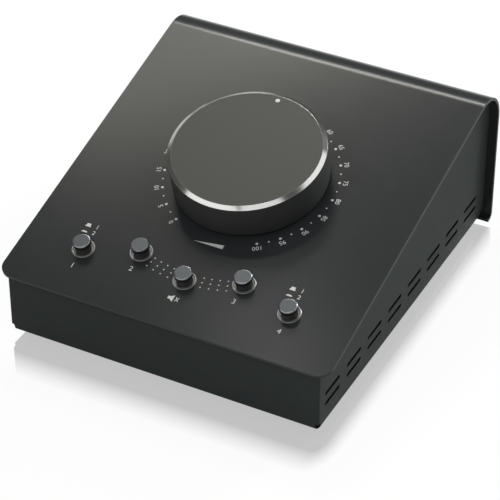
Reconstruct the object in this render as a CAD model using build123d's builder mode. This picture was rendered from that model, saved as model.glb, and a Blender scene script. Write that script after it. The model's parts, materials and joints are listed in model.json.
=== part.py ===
"""Desktop studio monitor controller: a wedge-shaped sheet-metal case with a large volume knob and five push
buttons on its sloped lid, and its sockets on the rear panel.

Millimetres. X to the right, Y to the back, Z up. The origin is on the desk, under the middle of the object.
"""

import os
from math import cos, radians, sin, tan

from build123d import *

# Cover and tray
lid_width = 140.0
case_depth = 158.0
lid_slope = 14.37
lid_front_height = 27.65
cover_sheet = 1.2
rear_bend = 14.8
lower_bend = 2.8
rear_flange_length = 15.0
rear_flange_inset = 8.0
rear_flange_root = 1.0
lid_corner = 6.0
flange_corner = 2.5
lid_overhang = 3.8
tray_setback = 2.0
tray_sheet = 1.0
tray_bend = 2.0
tray_corner = 0.8
side_flange = 8.0
front_flange = 9.0
flange_inset = 6.0
corner_relief = 1.6
corner_relief_height = 3.0

# Vent slots in the side walls
vent_length = 12.2
vent_height = 1.7
vent_row_margin = 11.04
vent_row_pitch = 4.8
vent_columns = 8
vent_rows = 2
vent_row_shift = 1.4
vent_height_above_tray = 11.7

# Feet
foot_height = 3.2
foot_radius = 6.0
foot_taper = 0.6
foot_edge = 0.5
foot_inset = 12.2
front_foot_inset = 17.0
rear_foot_inset = 29.0

# Dial and knob; heights are above the lid
dial_up_slope = 79.0
knob_radius = 31.2
knob_draft = 0.3
knob_gap = 0.8
knob_top = 16.0
knob_wall = 2.4
knob_web = 2.6
knob_chamfer_width = 1.7
knob_chamfer_height = 1.0
knob_face_step = 0.8
knob_face_inset = 2.2
knob_rib = 1.2
knob_rib_height = 2.4
knob_rib_count = 6
knob_boss_radius = 6.0
boss_ring_thickness = 0.6
boss_ring_width = 2.0
boss_ring_gap = 4.0
boss_ring_lift = 0.6
dot_radius = 0.95
dot_place = 27.1
dot_depth = 0.4

# Potentiometer
pot_width = 17.0
pot_corner = 1.5
board_drop = 12.0
bushing_radius = 4.5
bushing_length = 6.6
bushing_chamfer = 0.5
pot_hole_clearance = 0.2
shaft_radius = 3.0
shaft_clearance = 0.05
shaft_tip = 13.0
shaft_seat = 4.0
shaft_flat = 1.5
shaft_flat_length = 6.5
shaft_chamfer = 0.4
rotor_clearance = 0.5
pot_washer_radius = 6.8
pot_washer_thickness = 0.6
pot_nut_across = 12.0
pot_nut_thickness = 2.0
boss_clearance = 0.5
fit_clearance = 0.03
pot_pin_pitch = 5.0
pot_pin_row = 5.0

# Buttons
button_pitch = 22.0
outer_button_row = 22.55
inner_button_row = 29.0
cap_radius = 3.55
cap_proud = 4.9
cap_chamfer = 0.3
cap_head = 2.0
cap_neck_radius = 2.9
cap_socket_depth = 3.5
button_travel = 2.5
press_clearance = 0.5
collar_radius = 4.65
collar_rim = 0.4
collar_rim_width = 0.5
collar_tube = 4.25
collar_clearance = 0.25
collar_dish = 0.35
collar_dish_radius = 3.95
collar_length = 2.0
collar_snap = 0.2
collar_hole_clearance = 0.05
switch_width = 8.0
switch_height = 8.2
switch_corner = 0.5
plunger_width = 3.2
plunger_clearance = 0.15
plunger_hidden = 4.0
switch_pin_pitch = 2.5
switch_pin_row = 5.0

# Boards
board_thickness = 1.6
board_inset = 12.2
board_front = 14.0
board_back = 104.0
board_corner = 2.0
pin_width = 0.8
pin_thickness = 0.5
pin_below = 1.5
pin_clearance = 0.1
standoff_across = 5.5
standoff_inset = 6.0
front_standoff = 42.0
rear_standoff = 97.0

# Metric screws
screw_radius = 1.5
screw_clearance = 0.2
thread_clearance = 0.05
screw_head_radius = 2.75
screw_head = 1.2
screw_head_edge = 0.4
screw_slot_width = 0.8
screw_slot_depth = 0.6
board_screw_length = 6.0
base_screw_length = 6.0
base_screw_pitch = 45.0
base_screw_inset = 8.0
clinch_nut_across = 5.5
clinch_nut_thickness = 2.4

# Hooks that hold the front of the lid down
hook_width = 10.0
hook_x = 33.0
hook_sheet = 1.0
hook_lap = 6.0
hook_leaf = 9.0
hook_clearance = 0.3

# Rear sockets; depths are measured inwards from the outer face of the rear panel
socket_depth = 29.0
jack_width = 15.0
jack_corner = 0.8
jack_bore = 3.2
jack_bore_depth = 27.5
jack_nose = 4.75
jack_nose_proud = 3.2
jack_nut_across = 12.7
jack_nut_thickness = 2.0
jack_nut_edge = 0.4
jack_washer_radius = 7.0
jack_washer_thickness = 0.5
jack_hole_clearance = 0.15
jack_side_gap = 11.7
jack_pitch = 22.0
jack_row_pitch = 20.0
mini_width = 8.0
mini_bore = 1.8
mini_bore_depth = 14.0
mini_nose = 3.0
mini_nose_proud = 2.4
mini_nut_radius = 4.0
mini_nut_thickness = 1.8
socket_height = 25.3
combo_width = 24.0
combo_height = 29.0
combo_corner = 1.5
combo_face_radius = 11.4
combo_face_proud = 1.0
combo_hole_clearance = 0.2
combo_groove_outer = 9.6
combo_groove_inner = 8.1
combo_groove_depth = 11.0
combo_pin_radius = 1.3
combo_pin_circle = 5.2
combo_pin_depth = 10.0
combo_pitch = 28.0
combo_side_gap = 7.2
combo_screw_x = 9.4
combo_screw_z = 12.0
combo_screw_radius = 1.3
combo_screw_length = 8.0
combo_screw_head = 2.6
combo_screw_head_height = 1.4
rear_board_inset = 6.2
rear_board_height = 42.0
rear_board_lift = 0.5
socket_pin_pitch = 2.5
socket_pin_row = 2.5

# Ribbon cable
ribbon_width = 18.0
ribbon_thickness = 0.9
ribbon_inset = 22.0
ribbon_bend = 8.0
header_width = 22.0
header_depth = 5.0
header_height = 6.0
control_header_place = 92.0
rear_header_height = 20.0

# Worked out
slope = radians(lid_slope)
tray_bottom = foot_height
front_y = -(case_depth + jack_nose_proud) / 2
rear_y = front_y + case_depth
rear_inside = rear_y - cover_sheet
lid_front_z = tray_bottom + lid_front_height
tray_floor = tray_bottom + tray_sheet
board_top = -(cover_sheet + board_drop)
board_under = board_top - board_thickness
tray_width = lid_width - 2 * lid_overhang
tray_inside = tray_width / 2 - tray_sheet
board_half_width = tray_width / 2 - board_inset
ribbon_x = board_half_width - ribbon_inset
standoff_x = board_half_width - standoff_inset
foot_x = tray_width / 2 - foot_inset
vent_pitch = (case_depth - vent_row_margin) / vent_columns
vent_middle = case_depth / 2 - vent_row_shift
socket_middle = tray_bottom + socket_height
jack_x = -(tray_inside - jack_side_gap - jack_width / 2)
combo_x = tray_inside - combo_side_gap - combo_width / 2
mini_x = (jack_x + jack_pitch + jack_width / 2 + combo_x - combo_pitch - combo_width / 2) / 2
switch_top = board_top + switch_height
bushing_top = bushing_length - cover_sheet
switch_well = plunger_hidden + button_travel + press_clearance
cap_bottom = switch_top + button_travel + press_clearance
collar_bore = cap_neck_radius + collar_clearance
rear_board_front = socket_depth + board_thickness
lid_normal = (0, -sin(slope), cos(slope))
up_slope = (0, cos(slope), sin(slope))

lid_plane = Plane(origin=(0, front_y, lid_front_z), x_dir=(1, 0, 0), z_dir=lid_normal)
lid_section = Plane(origin=lid_plane.origin, x_dir=up_slope, z_dir=(1, 0, 0))
rear_plane = Plane(origin=(0, rear_y, 0), x_dir=(1, 0, 0), z_dir=(0, -1, 0))

buttons = {
    "source": (-2 * button_pitch, outer_button_row),
    "mono": (-button_pitch, inner_button_row),
    "mute": (0, outer_button_row),
    "dim": (button_pitch, inner_button_row),
    "monitor": (2 * button_pitch, outer_button_row),
}
jacks = {
    "monitor_a_left": (jack_x + jack_pitch, socket_middle + jack_row_pitch / 2),
    "monitor_a_right": (jack_x + jack_pitch, socket_middle - jack_row_pitch / 2),
    "monitor_b_left": (jack_x, socket_middle + jack_row_pitch / 2),
    "monitor_b_right": (jack_x, socket_middle - jack_row_pitch / 2),
}
combos = {
    "source_left": (combo_x - combo_pitch, socket_middle),
    "source_right": (combo_x, socket_middle),
}
feet = {
    "front_left": (-foot_x, front_y + front_foot_inset),
    "front_right": (foot_x, front_y + front_foot_inset),
    "rear_left": (-foot_x, rear_y - rear_foot_inset),
    "rear_right": (foot_x, rear_y - rear_foot_inset),
}
standoffs = [(side * standoff_x, place) for side in (-1, 1) for place in (front_standoff, rear_standoff)]
base_screws_at = [(step * base_screw_pitch, rear_y - base_screw_inset) for step in (-1, 0, 1)]
socket_pins_at = [
    (x + step * socket_pin_pitch, z + (step == 0) * socket_pin_row)
    for x, z in (*jacks.values(), *combos.values(), (mini_x, socket_middle))
    for step in (-1, 0, 1)
]
combo_screws_at = [
    (x + side * combo_screw_x, z + side * combo_screw_z) for x, z in combos.values() for side in (-1, 1)
]
pot_pins_at = [
    (step * pot_pin_pitch, dial_up_slope + row * pot_pin_row / 2) for row in (-1, 1) for step in (-1, 0, 1)
]
switch_pins_at = [
    (x + row * switch_pin_row / 2, s + step * switch_pin_pitch)
    for x, s in buttons.values()
    for row in (-1, 1)
    for step in (-1, 0, 1)
]

os.makedirs("parts", exist_ok=True)


def finish(piece, name):
    piece.part.label = name
    export_step(piece.part, f"parts/{name}.step")


def on_lid(x, s):
    """Plane on the lid's outer face, x across and s up the slope from its front edge."""
    return Plane(origin=lid_plane.from_local_coords((x, s, 0)), x_dir=(1, 0, 0), z_dir=lid_normal)


def on_rear(x, z):
    """Plane on the rear panel's outer face, facing into the case."""
    return Plane(origin=(x, rear_y, z), x_dir=(1, 0, 0), z_dir=(0, -1, 0))


def section_of(plane):
    """Plane through a lid plane's own axis, for profiles of radius and height."""
    return Plane(origin=plane.origin, x_dir=plane.x_dir, z_dir=-plane.y_dir)


def place_under_lid(y):
    """Distance up the slope of the point on the lid's underside that lies y behind its front edge."""
    return (y - cover_sheet * sin(slope)) / cos(slope)


dial = on_lid(0, dial_up_slope)
dial_section = section_of(dial)
dial_axis = Axis(dial.origin, dial.z_dir)


# Top cover: lid, rear bend, rear panel and lower flange, bent from one sheet
with BuildPart() as top_cover:
    with BuildSketch(Plane.YZ):
        with BuildLine():
            skin = FilletPolyline(
                (front_y, lid_front_z),
                (rear_y, lid_front_z + case_depth * tan(slope)),
                (rear_y, tray_bottom - cover_sheet),
                (rear_y - rear_flange_length, tray_bottom - cover_sheet),
                radius=[rear_bend, lower_bend],
            )
            offset(skin, amount=cover_sheet, side=Side.RIGHT)
        make_face()
    extrude(amount=lid_width / 2, both=True)
    lid_corners = top_cover.edges().filter_by(Axis((0, 0, 0), lid_normal)).group_by(Axis.Y)[0]
    fillet(lid_corners, radius=lid_corner)
    flange_length = rear_flange_length - lower_bend - rear_flange_root
    flange_end = tray_width / 2 - rear_flange_inset
    flange_end_y = rear_y - rear_flange_length
    with BuildSketch(Plane.XY.offset(tray_bottom)):
        for side in (-1, 1):
            with Locations((side * (lid_width / 2 + flange_end) / 2, flange_end_y + flange_length / 2)):
                Rectangle(lid_width / 2 - flange_end, flange_length)
    extrude(amount=-2 * cover_sheet, mode=Mode.SUBTRACT)
    flange_corners = top_cover.edges().filter_by(Axis.Z).group_by(Axis.Y)[0]
    fillet(flange_corners, radius=flange_corner)
    with BuildSketch(lid_plane):
        with Locations(*buttons.values()):
            Circle(collar_tube + collar_hole_clearance)
        with Locations((0, dial_up_slope)):
            Circle(bushing_radius + pot_hole_clearance)
    extrude(amount=2 * cover_sheet, both=True, mode=Mode.SUBTRACT)
    with BuildSketch(rear_plane):
        with Locations(*jacks.values()):
            Circle(jack_nose + jack_hole_clearance)
        with Locations((mini_x, socket_middle)):
            Circle(mini_nose + jack_hole_clearance)
        with Locations(*combos.values()):
            Circle(combo_face_radius + combo_hole_clearance)
        with Locations(*combo_screws_at):
            Circle(combo_screw_radius + screw_clearance)
    extrude(amount=2 * cover_sheet, both=True, mode=Mode.SUBTRACT)
    with BuildSketch(Plane.XY.offset(tray_bottom)):
        with Locations(*base_screws_at):
            Circle(screw_radius + screw_clearance)
    extrude(amount=-2 * cover_sheet, mode=Mode.SUBTRACT)
finish(top_cover, "top_cover")

# Chassis tray: bottom, front and side walls, with flanges bent inwards under the lid
with BuildPart() as chassis_tray:
    tray_front = front_y + tray_setback
    under_lid = lid_front_z - cover_sheet / cos(slope)
    with BuildSketch(Plane.YZ) as wedge:
        with BuildLine():
            Polyline(
                (tray_front, tray_bottom),
                (rear_inside, tray_bottom),
                (rear_inside, under_lid + (rear_inside - front_y) * tan(slope)),
                (tray_front, under_lid + tray_setback * tan(slope)),
                close=True,
            )
        make_face()
        fillet(wedge.vertices().group_by(Axis.Y)[-1].sort_by(Axis.Z)[-1], radius=rear_bend - cover_sheet)
    extrude(amount=tray_width / 2, both=True)
    underside = chassis_tray.faces().sort_by(Axis.Z)[0]
    bent_edges = underside.edges().filter_by(lambda edge: edge.center().Y < rear_inside - tray_bend)
    fillet(bent_edges, radius=tray_bend)
    open_faces = chassis_tray.faces().filter_by(
        lambda face: face.normal_at().Z > sin(slope) or face.normal_at().Y > cos(slope)
    )
    offset(amount=-tray_sheet, openings=open_faces)
    upright_edges = chassis_tray.edges().filter_by(Axis.Z).group_by(Axis.Y)[0]
    fillet(upright_edges, radius=tray_corner)
    side_start = place_under_lid(tray_setback) + flange_inset
    side_end = (case_depth - 2 * rear_bend) / cos(slope)
    front_start = place_under_lid(tray_setback + tray_sheet / 2)
    with BuildSketch(lid_plane.offset(-cover_sheet)):
        for side in (-1, 1):
            with Locations((side * (tray_width - side_flange) / 2, (side_start + side_end) / 2)):
                Rectangle(side_flange, side_end - side_start)
        with Locations((0, front_start + front_flange / 2)):
            Rectangle(tray_width - 2 * (side_flange + flange_inset), front_flange)
    extrude(amount=-tray_sheet)
    with BuildSketch(Plane.YZ):
        with Locations((front_y + vent_middle, tray_bottom + vent_height_above_tray)):
            with GridLocations(vent_pitch, vent_row_pitch, vent_columns, vent_rows):
                SlotOverall(vent_length, vent_height)
    extrude(amount=tray_width, both=True, mode=Mode.SUBTRACT)
    with BuildSketch(Plane.YZ):
        with Locations((rear_inside, tray_bottom)):
            Rectangle(2 * lower_bend, 2 * lower_bend)
    extrude(amount=tray_width, both=True, mode=Mode.SUBTRACT)
    with BuildSketch(Plane.XY.offset(tray_bottom)):
        with Locations(*[(side * tray_width / 2, tray_front) for side in (-1, 1)]):
            Circle(corner_relief)
    extrude(amount=corner_relief_height, mode=Mode.SUBTRACT)
    with BuildSketch(Plane.XY.offset(tray_bottom)):
        with Locations(*base_screws_at):
            Circle(screw_radius + screw_clearance)
    extrude(amount=tray_sheet, mode=Mode.SUBTRACT)
finish(chassis_tray, "chassis_tray")

# Hooks spot-welded under the lid, which reach under the tray's front flange
with BuildPart() as lid_hooks:
    flange_under = -(cover_sheet + tray_sheet)
    web_start = front_start + front_flange + hook_clearance
    leaf_top = flange_under - hook_clearance
    for side in (-1, 1):
        with BuildSketch(lid_section.offset(side * hook_x)):
            with BuildLine():
                Polyline(
                    (web_start - hook_lap, leaf_top),
                    (web_start, leaf_top),
                    (web_start, -cover_sheet),
                    (web_start + hook_leaf, -cover_sheet),
                    (web_start + hook_leaf, -cover_sheet - hook_sheet),
                    (web_start + hook_sheet, -cover_sheet - hook_sheet),
                    (web_start + hook_sheet, leaf_top - hook_sheet),
                    (web_start - hook_lap, leaf_top - hook_sheet),
                    close=True,
                )
            make_face()
        extrude(amount=hook_width / 2, both=True)
finish(lid_hooks, "lid_hooks")

# Screws and clinch nuts that hold the cover's lower flange to the tray
with BuildPart() as base_screws:
    with BuildSketch(Plane.XY.offset(tray_bottom - cover_sheet)):
        with Locations(*base_screws_at):
            Circle(screw_radius - thread_clearance)
    extrude(amount=base_screw_length)
    with BuildSketch(Plane.XY.offset(tray_bottom - cover_sheet)):
        with Locations(*base_screws_at):
            Circle(screw_head_radius)
    extrude(amount=-screw_head)
    heads = base_screws.faces().group_by(Axis.Z)[0]
    chamfer(heads.edges(), length=screw_head_edge)
    with BuildSketch(Plane.XY.offset(tray_bottom - cover_sheet - screw_head)):
        with Locations(*base_screws_at):
            Rectangle(2 * screw_head_radius, screw_slot_width)
    extrude(amount=screw_slot_depth, mode=Mode.SUBTRACT)
finish(base_screws, "base_screws")

with BuildPart() as clinch_nuts:
    with BuildSketch(Plane.XY.offset(tray_floor)):
        with Locations(*base_screws_at):
            RegularPolygon(clinch_nut_across / 2, 6, major_radius=False)
            Circle(screw_radius, mode=Mode.SUBTRACT)
    extrude(amount=clinch_nut_thickness)
finish(clinch_nuts, "clinch_nuts")

# Rubber feet
for corner, place in feet.items():
    with BuildPart() as foot:
        with Locations((*place, foot_height / 2)):
            Cone(foot_radius - foot_taper, foot_radius, foot_height)
        fillet(foot.edges().group_by(Axis.Z)[0], radius=foot_edge)
    finish(foot, f"{corner}_foot")

# Potentiometer: the housing stands on the control board and its bushing passes through the lid
with BuildPart() as pot_housing:
    with BuildSketch(dial.offset(board_top)):
        RectangleRounded(pot_width, pot_width, pot_corner)
    extrude(amount=board_drop)
    with BuildSketch(dial.offset(-cover_sheet)):
        Circle(shaft_radius + rotor_clearance)
    extrude(amount=-(shaft_seat + rotor_clearance), mode=Mode.SUBTRACT)
finish(pot_housing, "pot_housing")

with BuildPart() as pot_bushing:
    with BuildSketch(dial.offset(-cover_sheet)):
        Circle(bushing_radius)
        Circle(shaft_radius + shaft_clearance, mode=Mode.SUBTRACT)
    extrude(amount=bushing_length)
    chamfer(pot_bushing.edges().group_by(Axis.Z)[-1].sort_by(SortBy.RADIUS)[-1], length=bushing_chamfer)
finish(pot_bushing, "pot_bushing")

with BuildPart() as pot_washer:
    with BuildSketch(dial):
        Circle(pot_washer_radius)
        Circle(bushing_radius + pot_hole_clearance, mode=Mode.SUBTRACT)
    extrude(amount=pot_washer_thickness)
finish(pot_washer, "pot_washer")

with BuildPart() as pot_nut:
    with BuildSketch(dial.offset(pot_washer_thickness)):
        RegularPolygon(pot_nut_across / 2, 6, major_radius=False)
        Circle(bushing_radius + thread_clearance, mode=Mode.SUBTRACT)
    extrude(amount=pot_nut_thickness)
finish(pot_nut, "pot_nut")

with BuildPart() as pot_shaft:
    with BuildSketch(dial.offset(-(cover_sheet + shaft_seat))):
        Circle(shaft_radius)
    extrude(amount=cover_sheet + shaft_seat + shaft_tip)
    tip = pot_shaft.faces().sort_by(Axis.Z)[-1]
    chamfer(tip.edges(), length=shaft_chamfer)
    with BuildSketch(dial.offset(shaft_tip)):
        with Locations((0, shaft_radius)):
            Rectangle(2 * shaft_radius, 2 * shaft_flat)
    extrude(amount=-shaft_flat_length, mode=Mode.SUBTRACT)
finish(pot_shaft, "pot_shaft")

# Knob: moulded body with ribs and a boss that fits the flatted shaft, metal face, indicator dot, spring ring
with BuildPart() as knob_body:
    face_seat = knob_top - knob_chamfer_height
    web_top = face_seat - knob_face_step
    web_under = web_top - knob_web
    boss_end = bushing_top + boss_clearance
    bore_radius = shaft_radius + fit_clearance
    knob_inside = knob_radius - knob_wall
    with BuildSketch(dial_section):
        with BuildLine():
            Polyline(
                (0, web_under),
                (knob_inside, web_under),
                (knob_inside - knob_draft, knob_gap),
                (knob_radius - knob_draft, knob_gap),
                (knob_radius, face_seat),
                (knob_radius - knob_face_inset, face_seat),
                (knob_radius - knob_face_inset, web_top),
                (0, web_top),
                close=True,
            )
        make_face()
    revolve(axis=dial_axis)
    with BuildSketch(dial.offset(boss_end)):
        Circle(knob_boss_radius)
    extrude(amount=web_under - boss_end)
    with BuildSketch(dial.offset(web_under)):
        with PolarLocations((knob_boss_radius + knob_inside) / 2, knob_rib_count):
            Rectangle(knob_inside - knob_boss_radius + knob_rib, knob_rib)
    extrude(amount=-knob_rib_height)
    with BuildSketch(dial.offset(boss_end)):
        Circle(bore_radius)
    extrude(amount=shaft_tip + fit_clearance - boss_end, mode=Mode.SUBTRACT)
    flat_place = shaft_radius - shaft_flat + fit_clearance
    with BuildSketch(dial.offset(shaft_tip + fit_clearance)):
        Circle(bore_radius + fit_clearance)
        with Locations((0, flat_place + bore_radius)):
            Rectangle(2 * knob_boss_radius, 2 * bore_radius, mode=Mode.INTERSECT)
    extrude(amount=-(shaft_flat_length - boss_clearance))
finish(knob_body, "knob_body")

with BuildPart() as knob_face:
    with BuildSketch(dial_section):
        with BuildLine():
            Polyline(
                (0, web_top),
                (knob_radius - knob_face_inset, web_top),
                (knob_radius - knob_face_inset, face_seat),
                (knob_radius, face_seat),
                (knob_radius - knob_chamfer_width, knob_top),
                (0, knob_top),
                close=True,
            )
        make_face()
    revolve(axis=dial_axis)
    with BuildSketch(dial.offset(knob_top)):
        with Locations((0, dot_place)):
            Circle(dot_radius)
    extrude(amount=-dot_depth, mode=Mode.SUBTRACT)
finish(knob_face, "knob_face")

with BuildPart() as indicator_dot:
    with BuildSketch(dial.offset(knob_top)):
        with Locations((0, dot_place)):
            Circle(dot_radius)
    extrude(amount=-dot_depth)
finish(indicator_dot, "indicator_dot")

with BuildPart() as boss_ring:
    with BuildSketch(dial.offset(boss_end + boss_ring_lift)):
        Circle(knob_boss_radius + boss_ring_thickness)
        Circle(knob_boss_radius, mode=Mode.SUBTRACT)
        with Locations((0, knob_boss_radius)):
            Rectangle(boss_ring_gap, 2 * knob_boss_radius, mode=Mode.SUBTRACT)
    extrude(amount=boss_ring_width)
finish(boss_ring, "boss_ring")

# Push buttons: cap on a square plunger, guided by a latching switch on the control board and a ring collar
for name, place in buttons.items():
    button = on_lid(*place)
    with BuildPart() as cap:
        with BuildSketch(button.offset(cap_bottom)):
            Circle(cap_neck_radius)
        extrude(amount=cap_proud - cap_head - cap_bottom)
        with BuildSketch(button.offset(cap_proud - cap_head)):
            Circle(cap_radius)
        extrude(amount=cap_head)
        chamfer(cap.faces().sort_by(Axis.Z)[-1].edges(), length=cap_chamfer)
        with BuildSketch(button.offset(cap_bottom)):
            Rectangle(plunger_width + 2 * fit_clearance, plunger_width + 2 * fit_clearance)
        extrude(amount=cap_socket_depth, mode=Mode.SUBTRACT)
    finish(cap, f"{name}_cap")

    with BuildPart() as plunger:
        with BuildSketch(button.offset(switch_top - plunger_hidden)):
            Rectangle(plunger_width, plunger_width)
        extrude(amount=cap_bottom + cap_socket_depth - switch_top + plunger_hidden)
    finish(plunger, f"{name}_plunger")

    with BuildPart() as switch:
        with BuildSketch(button.offset(board_top)):
            RectangleRounded(switch_width, switch_width, switch_corner)
        extrude(amount=switch_height)
        with BuildSketch(button.offset(switch_top)):
            Rectangle(plunger_width + 2 * plunger_clearance, plunger_width + 2 * plunger_clearance)
        extrude(amount=-switch_well, mode=Mode.SUBTRACT)
    finish(switch, f"{name}_switch")

    with BuildPart() as collar:
        tube_end = -(cover_sheet + collar_length)
        with BuildSketch(section_of(button)):
            with BuildLine():
                Polyline(
                    (collar_tube, 0),
                    (collar_radius, 0),
                    (collar_radius, collar_rim / 2),
                    (collar_radius - collar_rim / 2, collar_rim),
                    (collar_radius - collar_rim_width, collar_rim),
                    (collar_dish_radius, collar_rim - collar_dish),
                    (collar_bore, collar_rim - collar_dish),
                    (collar_bore, tube_end),
                    (collar_tube - collar_snap, tube_end),
                    (collar_tube + collar_snap, tube_end / 2 - cover_sheet / 2),
                    (collar_tube + collar_snap, -cover_sheet),
                    (collar_tube, -cover_sheet),
                    close=True,
                )
            make_face()
        revolve(axis=Axis(button.origin, button.z_dir))
    finish(collar, f"{name}_collar")

# Control board, hung from the lid on clinched standoffs, and the pins soldered through it
with BuildPart() as control_board:
    with BuildSketch(lid_plane.offset(board_under)):
        with Locations((0, (board_front + board_back) / 2)):
            RectangleRounded(2 * board_half_width, board_back - board_front, board_corner)
        with Locations(*standoffs):
            Circle(screw_radius + screw_clearance, mode=Mode.SUBTRACT)
        with Locations(*pot_pins_at, *switch_pins_at):
            Rectangle(pin_thickness + 2 * pin_clearance, pin_width + 2 * pin_clearance, mode=Mode.SUBTRACT)
    extrude(amount=board_thickness)
finish(control_board, "control_board")

for name, places in (("pot_pins", pot_pins_at), ("switch_pins", switch_pins_at)):
    with BuildPart() as pins:
        with BuildSketch(lid_plane.offset(board_under - pin_below)):
            with Locations(*places):
                Rectangle(pin_thickness, pin_width)
        extrude(amount=board_thickness + pin_below)
    finish(pins, name)

with BuildPart() as board_standoffs:
    with BuildSketch(lid_plane.offset(board_top)):
        with Locations(*standoffs):
            RegularPolygon(standoff_across / 2, 6, major_radius=False)
            Circle(screw_radius, mode=Mode.SUBTRACT)
    extrude(amount=board_drop)
finish(board_standoffs, "board_standoffs")

with BuildPart() as board_screws:
    with BuildSketch(lid_plane.offset(board_under)):
        with Locations(*standoffs):
            Circle(screw_radius - thread_clearance)
    extrude(amount=board_screw_length)
    with BuildSketch(lid_plane.offset(board_under)):
        with Locations(*standoffs):
            Circle(screw_head_radius)
    extrude(amount=-screw_head)
finish(board_screws, "board_screws")

# Rear sockets between the rear panel and the rear board
for name, place in jacks.items():
    with BuildPart() as jack:
        with BuildSketch(on_rear(*place).offset(cover_sheet)):
            RectangleRounded(jack_width, jack_width, jack_corner)
        extrude(amount=socket_depth - cover_sheet)
        with BuildSketch(on_rear(*place).offset(-jack_nose_proud)):
            Circle(jack_nose)
        extrude(amount=jack_nose_proud + cover_sheet)
        with BuildSketch(on_rear(*place).offset(-jack_nose_proud)):
            Circle(jack_bore)
        extrude(amount=jack_nose_proud + jack_bore_depth, mode=Mode.SUBTRACT)
    finish(jack, f"{name}_jack")

with BuildPart() as jack_washers:
    with BuildSketch(rear_plane):
        with Locations(*jacks.values()):
            Circle(jack_washer_radius)
            Circle(jack_nose + jack_hole_clearance, mode=Mode.SUBTRACT)
    extrude(amount=-jack_washer_thickness)
finish(jack_washers, "jack_washers")

with BuildPart() as jack_nuts:
    with BuildSketch(rear_plane.offset(-jack_washer_thickness)):
        with Locations(*jacks.values()):
            RegularPolygon(jack_nut_across / 2, 6, major_radius=False)
            Circle(jack_nose + thread_clearance, mode=Mode.SUBTRACT)
    extrude(amount=-jack_nut_thickness)
    chamfer(jack_nuts.faces().group_by(Axis.Y)[-1].edges().filter_by(GeomType.LINE), length=jack_nut_edge)
finish(jack_nuts, "jack_nuts")

mini_plane = on_rear(mini_x, socket_middle)
with BuildPart() as mini_jack:
    with BuildSketch(mini_plane.offset(cover_sheet)):
        Rectangle(mini_width, mini_width)
    extrude(amount=socket_depth - cover_sheet)
    with BuildSketch(mini_plane.offset(-mini_nose_proud)):
        Circle(mini_nose)
    extrude(amount=mini_nose_proud + cover_sheet)
    with BuildSketch(mini_plane.offset(-mini_nose_proud)):
        Circle(mini_bore)
    extrude(amount=mini_nose_proud + mini_bore_depth, mode=Mode.SUBTRACT)
finish(mini_jack, "mini_jack")

with BuildPart() as mini_jack_nut:
    with BuildSketch(mini_plane):
        Circle(mini_nut_radius)
        Circle(mini_nose + thread_clearance, mode=Mode.SUBTRACT)
    extrude(amount=-mini_nut_thickness)
finish(mini_jack_nut, "mini_jack_nut")

for name, place in combos.items():
    combo_plane = on_rear(*place)
    with BuildPart() as combo:
        with BuildSketch(combo_plane.offset(cover_sheet)):
            RectangleRounded(combo_width, combo_height, combo_corner)
        extrude(amount=socket_depth - cover_sheet)
        with BuildSketch(combo_plane.offset(-combo_face_proud)):
            Circle(combo_face_radius)
        extrude(amount=combo_face_proud + cover_sheet)
        with BuildSketch(combo_plane.offset(-combo_face_proud)):
            Circle(combo_groove_outer)
            Circle(combo_groove_inner, mode=Mode.SUBTRACT)
        extrude(amount=combo_groove_depth, mode=Mode.SUBTRACT)
        with BuildSketch(combo_plane.offset(-combo_face_proud)):
            with PolarLocations(combo_pin_circle, 3, start_angle=-90):
                Circle(combo_pin_radius)
        extrude(amount=combo_pin_depth, mode=Mode.SUBTRACT)
        with BuildSketch(combo_plane.offset(-combo_face_proud)):
            Circle(jack_bore)
        extrude(amount=combo_face_proud + jack_bore_depth, mode=Mode.SUBTRACT)
        with BuildSketch(combo_plane.offset(cover_sheet)):
            with Locations(*[(side * combo_screw_x, side * combo_screw_z) for side in (-1, 1)]):
                Circle(combo_screw_radius + thread_clearance)
        extrude(amount=combo_screw_length, mode=Mode.SUBTRACT)
    finish(combo, f"{name}_combo")

with BuildPart() as combo_screws:
    with BuildSketch(rear_plane):
        with Locations(*combo_screws_at):
            Circle(combo_screw_radius)
    extrude(amount=combo_screw_length)
    with BuildSketch(rear_plane):
        with Locations(*combo_screws_at):
            Circle(combo_screw_head)
    extrude(amount=-combo_screw_head_height)
    chamfer(combo_screws.faces().group_by(Axis.Y)[-1].edges(), length=screw_head_edge)
    with BuildSketch(rear_plane.offset(-combo_screw_head_height)):
        with Locations(*combo_screws_at):
            Rectangle(2 * combo_screw_head, screw_slot_width)
    extrude(amount=screw_slot_depth, mode=Mode.SUBTRACT)
finish(combo_screws, "combo_screws")

with BuildPart() as rear_board:
    with BuildSketch(rear_plane.offset(socket_depth)):
        with Locations((0, socket_middle + rear_board_lift)):
            RectangleRounded(tray_width - 2 * rear_board_inset, rear_board_height, board_corner)
        with Locations(*socket_pins_at):
            Rectangle(pin_thickness + 2 * pin_clearance, pin_width + 2 * pin_clearance, mode=Mode.SUBTRACT)
    extrude(amount=board_thickness)
finish(rear_board, "rear_board")

with BuildPart() as socket_pins:
    with BuildSketch(rear_plane.offset(socket_depth)):
        with Locations(*socket_pins_at):
            Rectangle(pin_thickness, pin_width)
    extrude(amount=board_thickness + pin_below)
finish(socket_pins, "socket_pins")

# Ribbon cable from under the control board to the front of the rear board
with BuildPart() as control_header:
    with BuildSketch(lid_plane.offset(board_under)):
        with Locations((ribbon_x, control_header_place)):
            Rectangle(header_width, header_depth)
    extrude(amount=-header_height)
finish(control_header, "control_header")

with BuildPart() as rear_header:
    with BuildSketch(rear_plane.offset(rear_board_front)):
        with Locations((ribbon_x, rear_header_height)):
            Rectangle(header_width, header_depth)
    extrude(amount=header_height)
finish(rear_header, "rear_header")

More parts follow.
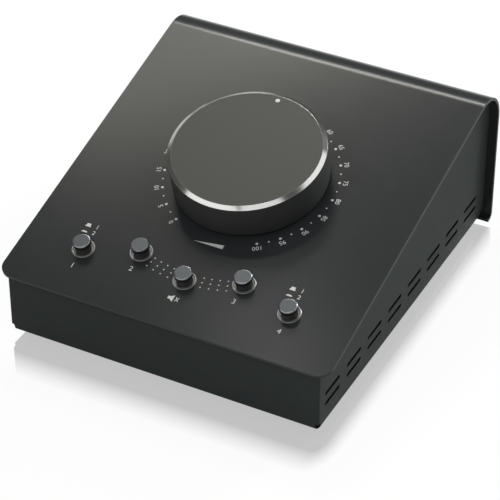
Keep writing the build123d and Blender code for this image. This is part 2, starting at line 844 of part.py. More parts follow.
with BuildPart() as ribbon_cable:
    header_end = lid_plane.from_local_coords((ribbon_x, control_header_place, board_under - header_height))
    drop = (header_end.Z - rear_header_height) / cos(slope)
    with BuildSketch(Plane.YZ.offset(ribbon_x)):
        with BuildLine():
            route = FilletPolyline(
                (header_end.Y, header_end.Z),
                (header_end.Y + drop * sin(slope), rear_header_height),
                (rear_y - rear_board_front - header_height, rear_header_height),
                radius=ribbon_bend,
            )
            offset(route, amount=ribbon_thickness, side=Side.LEFT)
        make_face()
    extrude(amount=ribbon_width / 2, both=True)
finish(ribbon_cable, "ribbon_cable")
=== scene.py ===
import json
import math

import bmesh
import bpy
from mathutils import Matrix, Vector

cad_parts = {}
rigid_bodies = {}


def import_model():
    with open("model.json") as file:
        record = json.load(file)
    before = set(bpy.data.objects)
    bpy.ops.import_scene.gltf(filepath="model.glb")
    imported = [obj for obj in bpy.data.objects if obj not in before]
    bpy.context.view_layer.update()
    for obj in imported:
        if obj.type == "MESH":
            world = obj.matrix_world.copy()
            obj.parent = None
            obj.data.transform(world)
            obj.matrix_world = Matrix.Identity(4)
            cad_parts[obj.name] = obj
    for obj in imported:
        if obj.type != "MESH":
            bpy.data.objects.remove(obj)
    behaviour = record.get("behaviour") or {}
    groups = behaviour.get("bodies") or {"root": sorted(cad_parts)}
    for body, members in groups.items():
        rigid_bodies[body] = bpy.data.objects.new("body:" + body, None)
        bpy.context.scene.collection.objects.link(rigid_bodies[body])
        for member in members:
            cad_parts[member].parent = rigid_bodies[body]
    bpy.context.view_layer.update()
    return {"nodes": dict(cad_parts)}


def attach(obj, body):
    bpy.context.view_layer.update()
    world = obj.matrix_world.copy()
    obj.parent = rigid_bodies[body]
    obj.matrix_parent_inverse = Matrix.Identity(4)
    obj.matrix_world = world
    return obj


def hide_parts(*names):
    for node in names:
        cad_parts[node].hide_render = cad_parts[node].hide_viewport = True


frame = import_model()
nodes = frame["nodes"]
mm = 0.001
print("frame loaded:", len(nodes), "nodes")

lid = {"slope": 14.37, "front": (0, -80.6, 30.85), "dial": 79.0}  # degrees and mm, as the part has them
buttons = {"source": (-44, 22.55), "mono": (-22, 29), "mute": (0, 22.55), "dim": (22, 29)}  # mm across and up
buttons["monitor"] = (44, 22.55)
tilt = math.radians(lid["slope"])
upSlope = Vector((0, math.cos(tilt), math.sin(tilt)))
lidNormal = Vector((0, -math.sin(tilt), math.cos(tilt)))
lidPlace = Matrix.Translation(Vector(lid["front"]) * mm) @ Matrix.Rotation(tilt, 4, "X")


def onLid(x, s, h=0.0):  # a point across the lid, up its slope and above it, in mm
    return lidPlace @ (Vector((x, s, h)) * mm)


dialCentre = onLid(0, lid["dial"])


class Value:  # one socket, so that node maths reads as plain expressions
    def __init__(self, graph, socket):
        self.graph, self.socket = graph, socket

    def maths(self, operation, *values):
        return self.graph.add("ShaderNodeMath", {"operation": operation}, dict(enumerate(values)))

    def __add__(self, other):
        return self.maths("ADD", self, other)

    def __sub__(self, other):
        return self.maths("SUBTRACT", self, other)

    def __rsub__(self, other):
        return self.maths("SUBTRACT", other, self)

    def __mul__(self, other):
        return self.maths("MULTIPLY", self, other)

    def __truediv__(self, other):
        return self.maths("DIVIDE", self, other)

    def __mod__(self, other):
        return self.maths("FLOORED_MODULO", self, other)

    __radd__ = __add__
    __rmul__ = __mul__

    def __pow__(self, other):
        return self.maths("POWER", self, other)

    def __abs__(self):
        return self.maths("ABSOLUTE", self)

    def sin(self):
        return self.maths("SINE", self)

    def cos(self):
        return self.maths("COSINE", self)

    def sqrt(self):
        return self.maths("SQRT", self)

    def atMost(self, top):
        return self.maths("MINIMUM", self, top)

    def atLeast(self, low):
        return self.maths("MAXIMUM", self, low)

    def over(self, edge):  # 1 where the value is over the edge
        return self.maths("GREATER_THAN", self, edge)

    def above(self, edge, soft):  # 0 below the edge, 1 above it, with a soft step between
        settings = {"interpolation_type": "SMOOTHSTEP"}
        inputs = {0: self, 1: edge - soft / 2, 2: edge + soft / 2, 3: 0.0, 4: 1.0}
        return self.graph.add("ShaderNodeMapRange", settings, inputs)


class Graph:  # a node tree that is filled in by expressions
    def __init__(self, tree):
        self.tree = tree

    def put(self, socket, value):
        if isinstance(value, Value):
            self.tree.links.new(value.socket, socket)
        elif not hasattr(socket.default_value, "__len__"):
            socket.default_value = value
        elif hasattr(value, "__len__"):
            socket.default_value = [*value, 1][: len(socket.default_value)]
        else:
            socket.default_value = [value] * 3 + [1] * (len(socket.default_value) - 3)

    def add(self, kind, settings=None, inputs=None, out=0):
        node = self.tree.nodes.new(kind)
        for key, value in (settings or {}).items():
            setattr(node, key, value)
        for key, value in (inputs or {}).items():
            self.put(node.inputs[key], value)
        return Value(self, node.outputs[out])

    def rays(self, *kinds):  # 1 for rays of these kinds
        path = self.add("ShaderNodeLightPath").socket.node
        return sum(Value(self, path.outputs["Is %s Ray" % kind]) for kind in kinds).atMost(1.0)


class Finish(Graph):  # a material with one Principled shader
    def __init__(self, name, **plain):
        self.material = bpy.data.materials.new(name)
        self.material.use_nodes = True
        super().__init__(self.material.node_tree)
        self.shader = self.tree.nodes["Principled BSDF"]
        for key, value in plain.items():
            self.set(key.replace("_", " "), value)

    def set(self, name, value):
        self.put(self.shader.inputs[name], value)

    def place(self):
        return self.add("ShaderNodeTexCoord", out="Object")

    def noise(self, size, detail, vector=None):  # size of the grain in mm
        inputs = {"Vector": vector or self.place(), "Scale": 1 / (size * mm), "Detail": detail}
        return self.add("ShaderNodeTexNoise", inputs=inputs, out="Fac")

    def mix(self, share, low, high):
        settings = {"data_type": "RGBA", "clamp_factor": True}
        return self.add("ShaderNodeMix", settings, {0: share, 6: low, 7: high}, out=2)

    def bump(self, height, depth):  # depth in mm
        self.set("Normal", self.add("ShaderNodeBump", inputs={"Height": height, "Distance": depth * mm}))

    def mottled(self, size, detail, dark, pale):  # a colour that wanders between two
        self.set("Base Color", self.mix(self.noise(size, detail), dark, pale))

    def dulled(self, least, spread, size, detail):  # a roughness that wanders up from its least
        self.set("Roughness", least + spread * self.noise(size, detail))

    def grained(self, size, detail, depth):  # a fine surface, with its depth in mm
        self.bump(self.noise(size, detail), depth)

    def along(self, axis, origin=(0, 0, 0)):  # coordinate along a direction from an origin, in mm
        moved = self.add("ShaderNodeVectorMath", {"operation": "SUBTRACT"}, {0: self.place(), 1: origin})
        dot = {"operation": "DOT_PRODUCT"}
        return self.add("ShaderNodeVectorMath", dot, {0: moved, 1: [c / mm for c in axis]}, out="Value")

    def overLid(self):  # height over the lid in mm
        return self.along(lidNormal, onLid(0, 0))

    def fromDial(self):  # distance from the dial's axis in mm
        x, s = self.along((1, 0, 0), dialCentre), self.along(upSlope, dialCentre)
        return (x * x + s * s).sqrt()


class StageFinish(Finish):  # white for the eye and for gloss, plain white paint for the light
    def white(self, share):
        glow = self.add("ShaderNodeEmission", inputs={"Color": 1.0, "Strength": 1.0})
        seen = self.rays("Camera", "Glossy", "Transmission") * share
        plain = Value(self, self.shader.outputs[0])
        return self.add("ShaderNodeMixShader", inputs={0: seen, 1: plain, 2: glow})

    def end(self, shader):
        self.tree.links.new(shader.socket, self.tree.nodes["Material Output"].inputs[0])


class Pattern(Graph):  # a geometry-node tree with named inputs for its sizes
    def __init__(self, name, **sizes):
        super().__init__(bpy.data.node_groups.new(name, "GeometryNodeTree"))
        self.name, self.sizes, self.ids = name, sizes, {}
        for key, value in sizes.items():
            kind = {int: "NodeSocketInt", tuple: "NodeSocketVector"}.get(type(value), "NodeSocketFloat")
            self.ids[key] = self.tree.interface.new_socket(key, in_out="INPUT", socket_type=kind).identifier
        self.tree.interface.new_socket("mesh", in_out="OUTPUT", socket_type="NodeSocketGeometry")
        self.source = self.tree.nodes.new("NodeGroupInput")

    def __getitem__(self, key):
        return Value(self, self.source.outputs[key])

    def vector(self, x, y, z):
        return self.add("ShaderNodeCombineXYZ", inputs={0: x, 1: y, 2: z})

    def grow(self, finish, body, geometry):  # ends the tree, evaluates it and keeps a plain mesh
        real = self.add("GeometryNodeRealizeInstances", inputs={0: geometry})
        coated = self.add("GeometryNodeSetMaterial", inputs={"Geometry": real, "Material": finish.material})
        end = self.tree.nodes.new("NodeGroupOutput")
        self.tree.links.new(coated.socket, end.inputs[0])
        piece = shown(self.name, bpy.data.meshes.new(self.name))
        modifier = piece.modifiers.new("pattern", "NODES")
        modifier.node_group = self.tree
        for key, value in self.sizes.items():
            modifier[self.ids[key]] = value
        return finished(piece, body)


def shown(name, data):
    thing = bpy.data.objects.new(name, data)
    bpy.context.scene.collection.objects.link(thing)
    return thing


def coat(piece, finish):
    piece.data.materials.clear()
    piece.data.materials.append(finish.material)
    return piece


def evaluated(piece):
    depsgraph = bpy.context.evaluated_depsgraph_get()
    return bpy.data.meshes.new_from_object(piece.evaluated_get(depsgraph), depsgraph=depsgraph)


def finished(piece, body, *stoodFor):
    mesh = evaluated(piece)
    mesh.name = piece.name
    piece.modifiers.clear()
    piece.data = mesh
    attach(piece, body)
    if stoodFor:
        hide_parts(*stoodFor)
    return piece


# Camera
camera = {
    "place": (342.84, -668.12, 566.91), "azimuth": 27.35, "elevation": 36.45,  # mm and degrees
    "lens": 168.35, "sensor": 36, "clip": (0.05, 30),
}


def fromFront(azimuth, elevation):  # direction seen from the object, 0 in front and 90 at its right
    a, e = math.radians(azimuth), math.radians(elevation)
    return Vector((math.sin(a) * math.cos(e), -math.cos(a) * math.cos(e), math.sin(e)))


eye = shown("camera", bpy.data.cameras.new("camera"))
eye.data.lens, eye.data.sensor_width = camera["lens"], camera["sensor"]
eye.data.clip_start, eye.data.clip_end = camera["clip"]
eye.location = Vector(camera["place"]) * mm
eye.rotation_mode = "QUATERNION"
eye.rotation_quaternion = (-fromFront(camera["azimuth"], camera["elevation"])).to_track_quat("-Z", "Y")
bpy.context.scene.camera = eye
print("camera placed")

# Satin paint of the cover
paintLook = {
    "dark": (0.0251, 0.0277, 0.0289), "pale": (0.0278, 0.0305, 0.0316),
    "rough": 0.165, "roughSpread": 0.05,
    "cutAt": 69.74, "cutRough": 0.15,  # mm from the middle to the cut side edges, and how much duller
}
paint = Finish("satinPaint", Specular_IOR_Level=0.1)
paint.mottled(14, 4, paintLook["dark"], paintLook["pale"])
cutEdge = abs(paint.along((1, 0, 0))).above(paintLook["cutAt"], 0.08)
flatRough = paintLook["rough"] + paintLook["roughSpread"] * paint.noise(5, 4)
paint.set("Roughness", flatRough + paintLook["cutRough"] * cutEdge)
paint.bump(paint.noise(0.9, 3) + 0.4 * paint.noise(0.18, 2), 0.003)

# Duller paint of the tray, with painted shade inside: its inner faces and the cut faces of its slots are
# coloured near black
trayLook = {
    "dark": (0.037, 0.0428, 0.0418), "pale": (0.041, 0.047, 0.046),
    "inside": (0.006, 0.0065, 0.0065), "skin": 0.08,  # mm under the outer face where the painted shade begins
}
trayShell = {"side": 66.2, "front": -78.6, "bottom": 3.2, "bend": 2.0}  # outer faces and bend in mm
trayPaint = Finish("trayPaint", Specular_IOR_Level=0.02)
fromFaces = (trayShell["side"] - abs(trayPaint.along((1, 0, 0))),
             trayPaint.along((0, 1, 0)) - trayShell["front"],
             trayPaint.along((0, 0, 1)) - trayShell["bottom"])
nearFaces = [(trayShell["bend"] - distance).atLeast(0.0) for distance in fromFaces]
underFace = trayShell["bend"] - sum(near * near for near in nearFaces).sqrt()  # follows the rounded bends
outerPaint = trayPaint.mix(trayPaint.noise(11, 4), trayLook["dark"], trayLook["pale"])
# painted shade: deeper than the skin under the outer faces, inside the tray and in its slots, the colour
# turns near black
paintedInsideShade = underFace.above(trayLook["skin"], 0.1)
trayPaint.set("Base Color", trayPaint.mix(paintedInsideShade, outerPaint, trayLook["inside"]))
trayPaint.dulled(0.47, 0.06, 4, 4)
trayPaint.bump(trayPaint.noise(0.7, 3) + 0.5 * trayPaint.noise(0.16, 2), 0.006)

markPaint = Finish("markPaint", Roughness=0.5)
markPaint.mottled(0.4, 3, (0.5, 0.51, 0.5), (0.64, 0.65, 0.64))
markPaint.grained(0.15, 2, 0.006)

# Knob: matt plastic grip and a turned metal disc with a bright cut chamfer
knobPlastic = Finish("knobPlastic", Specular_IOR_Level=0.3)
knobPlastic.mottled(3, 3, (0.05, 0.0518, 0.051), (0.056, 0.058, 0.0572))
knobPlastic.dulled(0.4, 0.08, 2, 3)
knobPlastic.grained(0.25, 3, 0.01)

discLook = {
    "chamfer": 29.45, "groove": 0.1,  # radius where the chamfer begins and pitch of the turning, in mm
    "turned": (0.0463, 0.0478, 0.0452), "cut": (0.42, 0.422, 0.412), "cutRough": 0.14,
}
turned = Finish("turnedMetal", Metallic=1.0)
fromDial = turned.fromDial()
chamfer = fromDial.above(discLook["chamfer"], 0.1)
rings = turned.noise(discLook["groove"], 2, turned.add("ShaderNodeCombineXYZ", inputs={0: fromDial * mm}))
turned.set("Base Color", turned.mix(chamfer, discLook["turned"], discLook["cut"]))
turned.set("Roughness", turned.add("ShaderNodeMix", inputs={
    0: chamfer, 2: 0.5 + 0.06 * rings, 3: discLook["cutRough"]}))
turned.bump(rings * (1 - chamfer), 0.003)

# Buttons: dark metallic heads with a painted highlight along their top edges, on plain stems, in dished
# collars
capLook = {
    "top": 4.9, "head": 2.05, "edge": 0.42, "flat": 0.02,  # mm over the lid, then mm below the top
    "dark": (0.0352, 0.0393, 0.0451), "pale": (0.0513, 0.057, 0.0647),
    "worn": (0.31, 0.322, 0.327), "stem": (0.07, 0.07, 0.068),
}
gunMetal = Finish("gunMetal")
capHeight = gunMetal.overLid()
head = capHeight.above(capLook["top"] - capLook["head"], 0.1)
overEdge = capHeight.above(capLook["top"] - capLook["edge"], 0.1)
# painted highlight: a band at the top edge of each head is coloured much lighter and fully metallic, standing
# in for its edge highlight
paintedEdgeHighlight = overEdge * (1 - capHeight.above(capLook["top"] - capLook["flat"], 0.02))
cleanMetal = gunMetal.mix(gunMetal.noise(0.9, 4), capLook["dark"], capLook["pale"])
headMetal = gunMetal.mix(paintedEdgeHighlight, cleanMetal, capLook["worn"])
gunMetal.set("Base Color", gunMetal.mix(head, capLook["stem"], headMetal))
gunMetal.set("Metallic", (0.7 + 0.3 * paintedEdgeHighlight) * head)
headRough = (0.26 + 0.12 * gunMetal.noise(0.6, 3)) * (1 - 0.2 * paintedEdgeHighlight)
gunMetal.set("Roughness", headRough + 0.2 * (1 - head))
gunMetal.grained(0.12, 2, 0.002)

collarLook = {"rim": 0.2, "dish": (0.09, 0.088, 0.087), "bright": (0.24, 0.24, 0.24), "metal": 0.6}
collarMetal = Finish("collarMetal")
rim = collarMetal.overLid().above(collarLook["rim"], 0.2)
collarMetal.set("Base Color", collarMetal.mix(rim, collarLook["dish"], collarLook["bright"]))
collarMetal.set("Metallic", collarLook["metal"] * rim)
collarMetal.dulled(0.26, 0.1, 0.6, 3)
collarMetal.grained(0.12, 2, 0.002)

# Plastics of the sockets and switches
blackPlastic = ((0.016, 0.016, 0.017), (0.024, 0.024, 0.025))
socketPlastic = Finish("socketPlastic")
socketPlastic.mottled(2.5, 3, *blackPlastic)
socketPlastic.dulled(0.4, 0.15, 1.2, 3)
socketPlastic.grained(0.2, 3, 0.012)

threadLook = {"from": 77.4, "pitch": 0.75, "depth": 0.22}  # the rear face, and the thread outside it, in mm
threaded = Finish("threadedPlastic")
outwards = threaded.along((0, 1, 0))
thread = (outwards * (2 * math.pi / threadLook["pitch"])).sin() * outwards.above(threadLook["from"], 0.2)
threaded.mottled(2, 3, *blackPlastic)
threaded.dulled(0.34, 0.15, 1.2, 3)
threaded.bump(thread, threadLook["depth"])

switchPlastic = Finish("switchPlastic", Roughness=0.5)
switchPlastic.mottled(2, 3, (0.025, 0.027, 0.032), (0.04, 0.042, 0.048))
switchPlastic.grained(0.3, 3, 0.01)

plungerPlastic = Finish("plungerPlastic", Roughness=0.45)
plungerPlastic.mottled(1.5, 3, (0.55, 0.54, 0.5), (0.66, 0.65, 0.6))
plungerPlastic.grained(0.25, 3, 0.008)

# Metals of the small parts
steel = Finish("platedSteel", Metallic=1.0)
steel.mottled(4, 4, (0.46, 0.46, 0.45), (0.6, 0.6, 0.58))
steel.dulled(0.24, 0.2, 1.5, 4)
steel.grained(0.3, 3, 0.004)

nickel = Finish("nickel", Metallic=1.0)
nickel.mottled(3, 3, (0.6, 0.57, 0.52), (0.7, 0.67, 0.62))
nickel.dulled(0.16, 0.14, 1, 4)
nickel.grained(0.25, 3, 0.003)

tin = Finish("tinnedPins", Metallic=1.0)
tin.mottled(1, 3, (0.58, 0.58, 0.58), (0.72, 0.72, 0.7))
tin.dulled(0.22, 0.25, 0.4, 3)

# Boards, ribbon cable and feet
laminate = Finish("boardLaminate")
weaveTurns = 9.0  # radians to a mm
weave = (laminate.along((1, 0, 0)) * weaveTurns).sin() * (laminate.along(upSlope) * weaveTurns).sin()
laminate.mottled(6, 4, (0.008, 0.06, 0.025), (0.016, 0.1, 0.04))
laminate.dulled(0.3, 0.12, 2, 3)
laminate.bump(weave, 0.01)

ribbonLook = {"pitch": 1.27, "gap": (0.18, 0.18, 0.19), "strand": (0.33, 0.33, 0.34)}  # pitch in mm
ribbon = Finish("ribbonJacket")
strands = (ribbon.along((1, 0, 0)) * (2 * math.pi / ribbonLook["pitch"])).sin()
ribbon.set("Base Color", ribbon.mix(strands.above(-0.8, 0.5), ribbonLook["gap"], ribbonLook["strand"]))
ribbon.dulled(0.4, 0.1, 1.5, 3)
ribbon.bump(strands, 0.12)

rubber = Finish("footRubber")
rubber.mottled(1.5, 4, (0.018, 0.018, 0.018), (0.03, 0.03, 0.03))
rubber.dulled(0.68, 0.15, 0.8, 3)
rubber.grained(0.3, 3, 0.02)
print("finishes made")


rounding = {"weld": 0.002, "flat": 0.6}  # mm between merged vertices, degrees between faces taken as flat


# Sheet metal and moulded pieces: the CAD shapes with their edges rounded over
def softened(name, node, body, finish, slot, width, segments=2, angle=30):
    mesh = nodes[node].data.copy()
    mesh.name = name
    shape = bmesh.new()
    shape.from_mesh(mesh)
    bmesh.ops.remove_doubles(shape, verts=shape.verts, dist=rounding["weld"] * mm)
    flat = math.radians(rounding["flat"])
    bmesh.ops.dissolve_limit(shape, angle_limit=flat, verts=shape.verts, edges=shape.edges)
    shape.to_mesh(mesh)
    shape.free()
    mesh.normals_split_custom_set([(0, 0, 0)] * len(mesh.loops))  # back to plain normals
    piece = coat(shown(name, mesh), finish)
    mesh.shade_smooth()
    bevel = piece.modifiers.new("edge", "BEVEL")
    bevel.width, bevel.segments = width * mm, segments
    bevel.limit_method, bevel.angle_limit = "ANGLE", math.radians(angle)
    level = piece.modifiers.new("level", "WEIGHTED_NORMAL")
    level.weight, level.keep_sharp = 100, True
    finished(piece, body, node)


rounded = {  # piece: node, body, finish, slot, edge radius in mm, segments, least angle in degrees
    "sheetCover": ("top_cover", "case", paint, "painted_sheet", 0.22, 3),
    "sheetTray": ("chassis_tray", "case", trayPaint, "painted_sheet", 0.2),
    "knobGrip": ("knob_body", "volume_knob", knobPlastic, "knob_plastic", 0.25),
    "knobDisc": ("knob_face", "volume_knob", turned, "knob_metal", 0.06, 2, 15),
}
for name in buttons:
    rounded[name + "Cap"] = (name + "_cap", name + "_button", gunMetal, "button_plastic", 0.2)
    rounded[name + "Collar"] = (name + "_collar", "case", collarMetal, "collar_plastic", 0.06)
rounded.update({
    "jackNuts": ("jack_nuts", "case", nickel, "nickel", 0.18),
    "miniNut": ("mini_jack_nut", "case", nickel, "nickel", 0.15),
    "comboScrews": ("combo_screws", "case", steel, "plated_steel", 0.12),
    "baseScrews": ("base_screws", "case", steel, "plated_steel", 0.12),
    "leftCombo": ("source_left_combo", "case", socketPlastic, "socket_plastic", 0.2),
    "rightCombo": ("source_right_combo", "case", socketPlastic, "socket_plastic", 0.2),
    "frontLeftFoot": ("front_left_foot", "case", rubber, "foot_rubber", 0.5),
    "frontRightFoot": ("front_right_foot", "case", rubber, "foot_rubber", 0.5),
    "rearLeftFoot": ("rear_left_foot", "case", rubber, "foot_rubber", 0.5),
    "rearRightFoot": ("rear_right_foot", "case", rubber, "foot_rubber", 0.5),
})
for name, settings in rounded.items():
    softened(name, *settings)
print("edges rounded on", len(rounded), "pieces")


# Printed dots: a flat disk at each point of a pattern laid on the lid
def printDots(pattern, across, up, corners, scale=1.0):
    points = pattern.add("GeometryNodePoints", inputs={
        "Count": pattern["count"], "Position": pattern.vector(across, up, 0.0)})
    disk = pattern.add("GeometryNodeMeshCylinder", inputs={
        "Vertices": corners, "Radius": pattern["dot"], "Depth": pattern["film"]})
    copies = pattern.add("GeometryNodeInstanceOnPoints", inputs={
        "Points": points, "Instance": disk, "Scale": pattern.vector(scale, scale, 1.0)})
    placed = pattern.add("GeometryNodeTransform", inputs={
        0: copies, "Rotation": pattern["turn"], "Translation": pattern["place"]})
    pattern.grow(markPaint, "case", placed)


film = 0.03 * mm  # thickness of the print
flatOn = {"film": film, "turn": (tilt, 0.0, 0.0), "place": tuple(dialCentre)}

# Dial: big dots at every number, small dots between them
dial = {
    "ring": 34.9, "bigDot": 0.55, "smallDot": 0.34, "numberRing": 36.1, "digits": 2.0,  # mm
    "first": -150, "step": 7.5, "unit": 3,  # degrees: the first dot, dot to dot, one unit of the numbers
    "dots": 41, "corners": 14,
}
dots = Pattern("dialDots", count=dial["dots"], ring=dial["ring"] * mm, start=math.radians(dial["first"]),
               step=math.radians(dial["step"]), dot=dial["bigDot"] * mm,
               small=dial["smallDot"] / dial["bigDot"], **flatOn)
dotIndex = dots.add("GeometryNodeInputIndex")
dotAngle = dots["start"] + dotIndex * dots["step"]
dotScale = 1 - (dotIndex % 2) * (1 - dots["small"])
printDots(dots, dots["ring"] * dotAngle.sin(), dots["ring"] * dotAngle.cos(), dial["corners"], dotScale)

# Link between the three middle buttons: three rows of dots on rings round the dial
link = {
    "ring": 53.0, "rowStep": 2.3, "dot": 0.28,  # mm
    "first": -17.2, "step": 3.43, "gap": 10.4,  # degrees; the gap is where the middle button stands
    "rows": 3, "columns": 8, "corners": 12,
}
rows = Pattern("linkDots", count=link["rows"] * link["columns"], columns=float(link["columns"]),
               half=link["columns"] / 2 - 0.5, ring=link["ring"] * mm, rowStep=link["rowStep"] * mm,
               start=math.radians(link["first"]), step=math.radians(link["step"]),
               gap=math.radians(link["gap"]), dot=link["dot"] * mm, **flatOn)
rowIndex = rows.add("GeometryNodeInputIndex")
column = rowIndex % rows["columns"]
row = (rowIndex - column) / rows["columns"]
rowAngle = rows["start"] + column * rows["step"] + column.over(rows["half"]) * rows["gap"]
rowRing = rows["ring"] + row * rows["rowStep"]
printDots(rows, rowRing * rowAngle.sin(), 0.0 - rowRing * rowAngle.cos(), link["corners"])


digitShare = 0.73  # height of a digit over the font's size


# Digits: text turned into a mesh, then laid on the lid
def digits(text, height, place):  # place is a matrix from the digits' own plane
    curve = bpy.data.curves.new("digits", "FONT")
    curve.body, curve.size = text, height * mm / digitShare
    curve.align_x, curve.align_y = "CENTER", "CENTER"
    curve.extrude, curve.resolution_u = film / 2, 3
    holder = shown("digits", curve)
    mesh = evaluated(holder)
    bpy.data.objects.remove(holder)
    mesh.transform(place)
    return mesh


def flatAt(point):  # the lid's plane, moved to a point of it
    return Matrix.Translation(point) @ Matrix.Rotation(tilt, 4, "X")


def aroundDial(angle, radius):  # turned so that the top of the digits points away from the dial
    spin = Matrix.Rotation(-math.radians(angle), 4, "Z")
    return flatAt(dialCentre) @ spin @ Matrix.Translation((0, radius, 0))


def lidShape(outline, x, s):  # a thin flat shape, from its outline in mm
    shape = bmesh.new()
    base = [shape.verts.new(onLid(x + u, s + v) - lidNormal * film / 2) for u, v in outline]
    grown = bmesh.ops.extrude_face_region(shape, geom=[shape.faces.new(base)])
    lift = [v for v in grown["geom"] if isinstance(v, bmesh.types.BMVert)]
    bmesh.ops.translate(shape, verts=lift, vec=lidNormal * film)
    mesh = bpy.data.meshes.new("mark")
    shape.to_mesh(mesh)
    shape.free()
    return mesh


def printed(name, meshes):  # joins the marks into one piece on the case
    shape = bmesh.new()
    for mesh in meshes:
        shape.from_mesh(mesh)
    bmesh.ops.remove_doubles(shape, verts=shape.verts, dist=1e-6)
    bmesh.ops.recalc_face_normals(shape, faces=shape.faces)
    whole = bpy.data.meshes.new(name)
    shape.to_mesh(whole)
    shape.free()
    piece = coat(shown(name, whole), markPaint)
    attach(piece, "case")


numberRadius = (dial["numberRing"] + dial["digits"] / 2) * mm
numbers = []
for number in range(0, 101, 5):
    numberPlace = aroundDial(dial["first"] + dial["unit"] * number, numberRadius)
    numbers.append(digits(str(number), dial["digits"], numberPlace))
printed("dialNumbers", numbers)

# Small marks: how each outer button stands, a crossed-out speaker, a wedge and plain digits
marks = {
    "raised": [(-1.2, -0.8), (1.2, -0.8), (1.2, -0.3), (0.85, -0.3),
               (0.85, 0.8), (-0.85, 0.8), (-0.85, -0.3), (-1.2, -0.3)],
    "flat": [(-1.2, -0.35), (1.2, -0.35), (1.2, 0.1), (0.85, 0.1),
             (0.85, 0.35), (-0.85, 0.35), (-0.85, 0.1), (-1.2, 0.1)],
    "speaker": [(-2.3, -0.65), (-1.3, -0.65), (0.1, -1.6), (0.1, 1.6), (-1.3, 0.65), (-2.3, 0.65)],
    "crossUp": [(0.75, -0.75), (1.05, -1.05), (2.35, 0.75), (2.05, 1.05)],
    "crossDown": [(0.75, 0.75), (2.05, -1.05), (2.35, -0.75), (1.05, 1.05)],
    "wedge": [(-6.2, -0.75), (6.2, -0.75), (6.2, 1.1)],
}
beside = {"raised": (-4, 11.4), "flat": (-4, 8.0), "1": (-0.1, 11.4), "2": (-0.1, 8.3)}  # mm from each
inMiddle = {"speaker": 13.4, "crossUp": 13.4, "crossDown": 13.4, "wedge": 42.4}  # mm up the lid
below = {"source": ("1", 8.85), "mono": ("2", 8.6), "dim": ("3", 8.7), "monitor": ("4", 8.8)}  # mm under each
digitHeight = {"beside": 2.0, "below": 2.4}
small = []
for name in ("source", "monitor"):
    x, s = buttons[name]
    for key, (right, up) in beside.items():
        if key in marks:
            small.append(lidShape(marks[key], x + right, s + up))
        else:
            small.append(digits(key, digitHeight["beside"], flatAt(onLid(x + right, s + up))))
small += [lidShape(marks[key], 0, up) for key, up in inMiddle.items()]
for name, (text, drop) in below.items():
    x, s = buttons[name]
    small.append(digits(text, digitHeight["below"], flatAt(onLid(x, s - drop))))
printed("buttonMarks", small)
print("dial and button marks printed")

# The other nodes keep their shape
plainNodes = (
    (markPaint, ["indicator_dot"]),
    (steel, ["lid_hooks", "clinch_nuts", "board_standoffs", "board_screws", "boss_ring", "pot_housing"]),
    (nickel, ["pot_bushing", "pot_washer", "pot_nut", "pot_shaft", "jack_washers"]),
    (tin, ["pot_pins", "switch_pins", "socket_pins"]),
    (threaded, [node for node in nodes if node.endswith("_jack")]),
    (socketPlastic, ["control_header", "rear_header"]),
    (switchPlastic, [node for node in nodes if node.endswith("_switch")]),
    (plungerPlastic, [node for node in nodes if node.endswith("_plunger")]),
    (laminate, ["control_board", "rear_board"]),
    (ribbon, ["ribbon_cable"]),
)
for finish, names in plainNodes:
    for name in names:
        coat(nodes[name], finish)

# Sky: white for the eye, dim for the light
skyLook = {"light": 0.1, "gloss": 0.15, "eye": 1.0}
world = bpy.data.worlds.new("studio")
world.use_nodes = True
bpy.context.scene.world = world
bpy.context.scene.view_settings.view_transform = "Standard"
sky = Graph(world.node_tree)
dimSky = skyLook["light"] + (skyLook["gloss"] - skyLook["light"]) * sky.rays("Glossy", "Transmission")
background = world.node_tree.nodes["Background"]
sky.put(background.inputs["Color"], 1.0)
sky.put(background.inputs["Strength"], dimSky + (skyLook["eye"] - skyLook["light"]) * sky.rays("Camera"))


def faceObject(thing, azimuth, elevation, distance):
    aim = fromFront(azimuth, elevation)
    thing.location = aim * distance
    thing.rotation_mode = "QUATERNION"
    thing.rotation_quaternion = aim.to_track_quat("Z", "Y")


def stagePlane(name, size, finish):
    bpy.ops.mesh.primitive_plane_add(size=size)
    plane = bpy.context.object
    plane.name = name
    plane.data.materials.append(finish.material)
    return plane


# Floor: white, and a faint mirror that fades out within a few mm of the case
floorLook = {
    "white": 0.85, "glow": 0.93, "size": 24.0, "drop": 0.02,  # size in m, drop below the feet in mm
    "mirror": 0.45, "mirrorRough": 0.03, "near": 8.4, "far": 23.2, "power": 1.35,
    "halfX": 66, "halfY": 78.6, "stretchX": 0.459, "stretchY": 0.888,  # mm: half the case, step of the fade
    "horizon": 2500, "horizonWidth": 3000,
}
floorFinish = StageFinish("floorWhite", Base_Color=floorLook["white"], Roughness=0.6, Specular_IOR_Level=0.0)
outX = (abs(floorFinish.along((1, 0, 0))) - floorLook["halfX"]).atLeast(0.0) / floorLook["stretchX"]
outY = (abs(floorFinish.along((0, 1, 0))) - floorLook["halfY"]).atLeast(0.0) / floorLook["stretchY"]
far = (outX * outX + outY * outY).sqrt()  # steps away from the case
nearness = ((floorLook["far"] - far) / (floorLook["far"] - floorLook["near"])).atLeast(0.0).atMost(1.0)
fade = floorLook["mirror"] * nearness ** floorLook["power"]
mirror = floorFinish.add("ShaderNodeBsdfGlossy", inputs={"Color": 1.0, "Roughness": floorLook["mirrorRough"]})
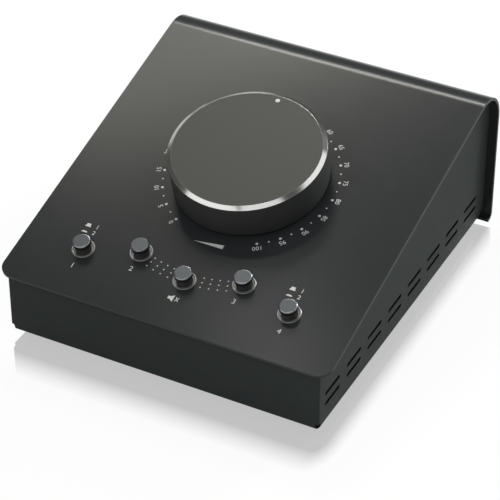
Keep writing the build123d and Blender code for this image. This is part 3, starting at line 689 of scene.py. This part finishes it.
toHorizon = far.above(floorLook["horizon"], floorLook["horizonWidth"])  # full white there, so no seam shows
white = floorFinish.white(floorLook["glow"] + (1 - floorLook["glow"]) * toHorizon)
floorFinish.end(floorFinish.add("ShaderNodeMixShader", inputs={0: fade, 1: white, 2: mirror}))
floor = stagePlane("floor", floorLook["size"], floorFinish)
floor.location.z = -floorLook["drop"] * mm

# Card: the white strip behind the object that the floor's mirror shows
cardLook = {"azimuth": -150, "elevation": 37, "distance": 2.2, "width": 1.9, "height": 0.34}
cardFinish = StageFinish("cardWhite", Base_Color=0.8, Roughness=0.6, Specular_IOR_Level=0.0)
cardFinish.end(cardFinish.white(1.0))
card = stagePlane("card", 1, cardFinish)
card.scale = (cardLook["width"], cardLook["height"], 1)
faceObject(card, cardLook["azimuth"], cardLook["elevation"], cardLook["distance"])

lamps = {  # azimuth and elevation from the front, width and height as seen from the object, then brightness
    "key": (-152, 48, 24, 8, 31.0),
    "keyTop": (-137, 53.2, 26, 5.6, 16.0),
    "corner": (-128, 66, 8, 4, 18.0),
    "low": (-120, 10, 26, 12, 0.85),
    "front": (-31, 45, 64, 24, 1.75),
    "frontRight": (27, 57, 52, 18, 1.5),
    "right": (121, 53, 68, 18, 1.7),
    "side": (158, 22, 14, 20, 30.0),
    "top": (-40, 80, 100, 14, 4.0),
}
warmLamps = {"key": (1.0, 0.99, 0.95), "keyTop": (1.0, 0.97, 0.86), "corner": (1.0, 0.99, 0.94)}
lampDistance = 1.6
for name, (azimuth, elevation, wide, high, level) in lamps.items():
    lamp = shown(name, bpy.data.lights.new(name, "AREA"))
    width = 2 * lampDistance * math.tan(math.radians(wide / 2)) * math.cos(math.radians(elevation))
    height = 2 * lampDistance * math.tan(math.radians(high / 2))
    lamp.data.shape, lamp.data.size, lamp.data.size_y = "RECTANGLE", width, height
    lamp.data.energy = level * math.pi * width * height
    lamp.data.color = warmLamps.get(name, (1.0, 1.0, 1.0))
    lamp.visible_camera = False
    faceObject(lamp, azimuth, elevation, lampDistance)
print("stage lit with", len(lamps), "lamps")
